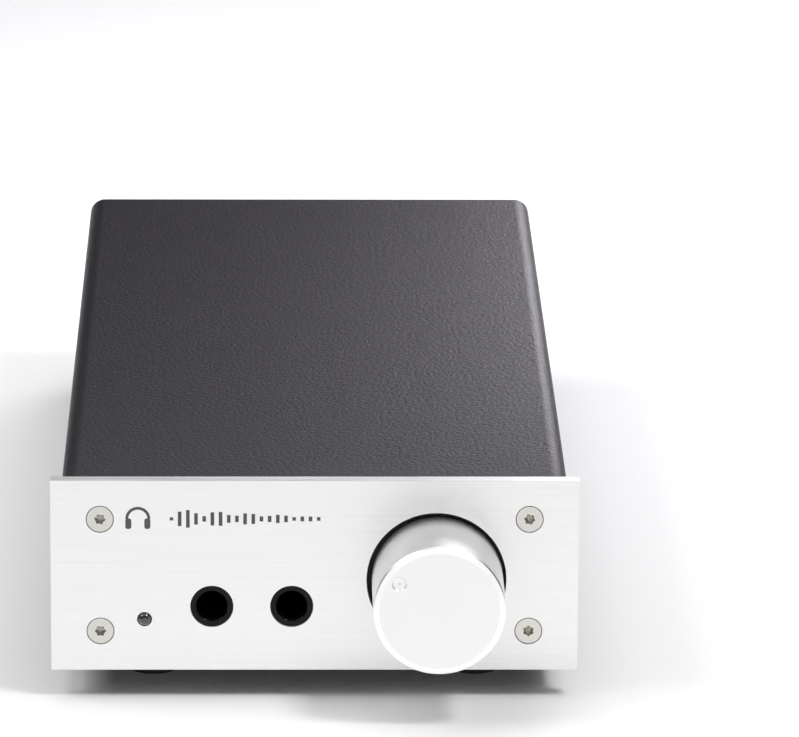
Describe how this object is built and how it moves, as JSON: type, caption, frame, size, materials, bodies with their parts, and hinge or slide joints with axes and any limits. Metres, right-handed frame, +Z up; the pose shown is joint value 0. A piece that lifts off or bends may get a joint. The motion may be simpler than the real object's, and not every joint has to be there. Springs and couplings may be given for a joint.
{
  "type": "headphone amplifier",
  "caption": "Slim desktop headphone amplifier: thick brushed front plate with volume knob, headphone jacks and pilot lamp on a folded black steel case.",
  "frame": {"origin": "on the table under the middle of the whole object, knob and rear sockets included", "axes": "+X to the right seen from the front, +Y from the front plate to the rear sockets, +Z up"},
  "size_m": [0.11, 0.273, 0.0473],
  "materials": {
    "brushed_plate": "brushed lengthways and clear anodised",
    "knob_metal": "fine turned, satin anodised",
    "powder_coat": "fine orange-peel powder coat",
    "tray_paint": "matt black coat",
    "screw_steel": "bright plated",
    "dark_steel": "blackened",
    "socket_plating": "bright nickel plate",
    "brass_fittings": "machined",
    "jack_plastic": "glossy moulded black",
    "inlet_plastic": "moulded black",
    "component_plastic": "moulded black",
    "white_plastic": "moulded white",
    "foot_rubber": "moulded",
    "lamp_lens": "smoked clear dome, unlit",
    "board_mask": "green solder mask",
    "capacitor_sleeve": "shrunk plastic sleeve",
    "heat_sink_metal": "black anodised",
    "transformer_pot": "moulded pot filled with resin",
    "fuse_glass": "clear tube"
  },
  "bodies": {
    "chassis": {"amplifier_chip": "component_plastic", "board_screw_front_left": "screw_steel", "board_screw_front_right": "screw_steel", "board_screw_rear_left": "screw_steel", "board_screw_rear_right": "screw_steel", "board_spacer_front_left": "brass_fittings", "board_spacer_front_right": "brass_fittings", "board_spacer_rear_left": "brass_fittings", "board_spacer_rear_right": "brass_fittings", "bridge_rectifier": "component_plastic", "chassis_tray": "tray_paint", "control_bush": "brass_fittings", "control_nut": "brass_fittings", "cover_screw_front_left": "dark_steel", "cover_screw_front_right": "dark_steel", "cover_screw_rear_left": "dark_steel", "cover_screw_rear_right": "dark_steel", "filter_capacitor_1": "capacitor_sleeve", "filter_capacitor_2": "capacitor_sleeve", "filter_capacitor_3": "capacitor_sleeve", "filter_capacitor_4": "capacitor_sleeve", "foot_front_left": "foot_rubber", "foot_front_right": "foot_rubber", "foot_rear_left": "foot_rubber", "foot_rear_right": "foot_rubber", "front_panel": "brushed_plate", "front_screw_lower_left": "screw_steel", "front_screw_lower_right": "screw_steel", "front_screw_upper_left": "screw_steel", "front_screw_upper_right": "screw_steel", "gain_switch": "component_plastic", "headphone_jack_left": "jack_plastic", "headphone_jack_right": "jack_plastic", "heat_sink_left": "heat_sink_metal", "heat_sink_right": "heat_sink_metal", "inlet_pin_earth": "socket_plating", "inlet_pin_live": "socket_plating", "inlet_pin_neutral": "socket_plating", "inlet_screw_left": "screw_steel", "inlet_screw_right": "screw_steel", "main_board": "board_mask", "mains_inlet": "inlet_plastic", "mains_transformer": "transformer_pot", "output_transistor_left": "component_plastic", "output_transistor_right": "component_plastic", "phono_input_left": "socket_plating", "phono_input_right": "socket_plating", "phono_loop_left": "socket_plating", "phono_loop_right": "socket_plating", "pilot_lamp": "lamp_lens", "top_cover": "powder_coat", "volume_control": "dark_steel"},
    "volume_knob": {"volume_knob": "knob_metal", "knob_grub_screw": "dark_steel", "control_shaft": "brass_fittings"},
    "fuse_drawer": {"fuse_drawer": "inlet_plastic", "mains_fuse": "fuse_glass"},
    "gain_slider_left": {"gain_slider_left": "white_plastic"},
    "gain_slider_right": {"gain_slider_right": "white_plastic"}
  },
  "joints": [
    {"name": "volume_turn", "type": "hinge", "parent": "chassis", "child": "volume_knob", "pos_m": [0.0256, -0.1158, 0.02545], "axis": [0, 1, 0], "range_deg": [-95, 205]},
    {"name": "fuse_drawer_slide", "type": "slide", "parent": "chassis", "child": "fuse_drawer", "axis": [0, 1, 0], "range_m": [0, 0.014]},
    {"name": "gain_left_slide", "type": "slide", "parent": "chassis", "child": "gain_slider_left", "axis": [0, 1, 0], "range_m": [0, 0.0018]},
    {"name": "gain_right_slide", "type": "slide", "parent": "chassis", "child": "gain_slider_right", "axis": [0, 1, 0], "range_m": [0, 0.0018]}
  ]
}
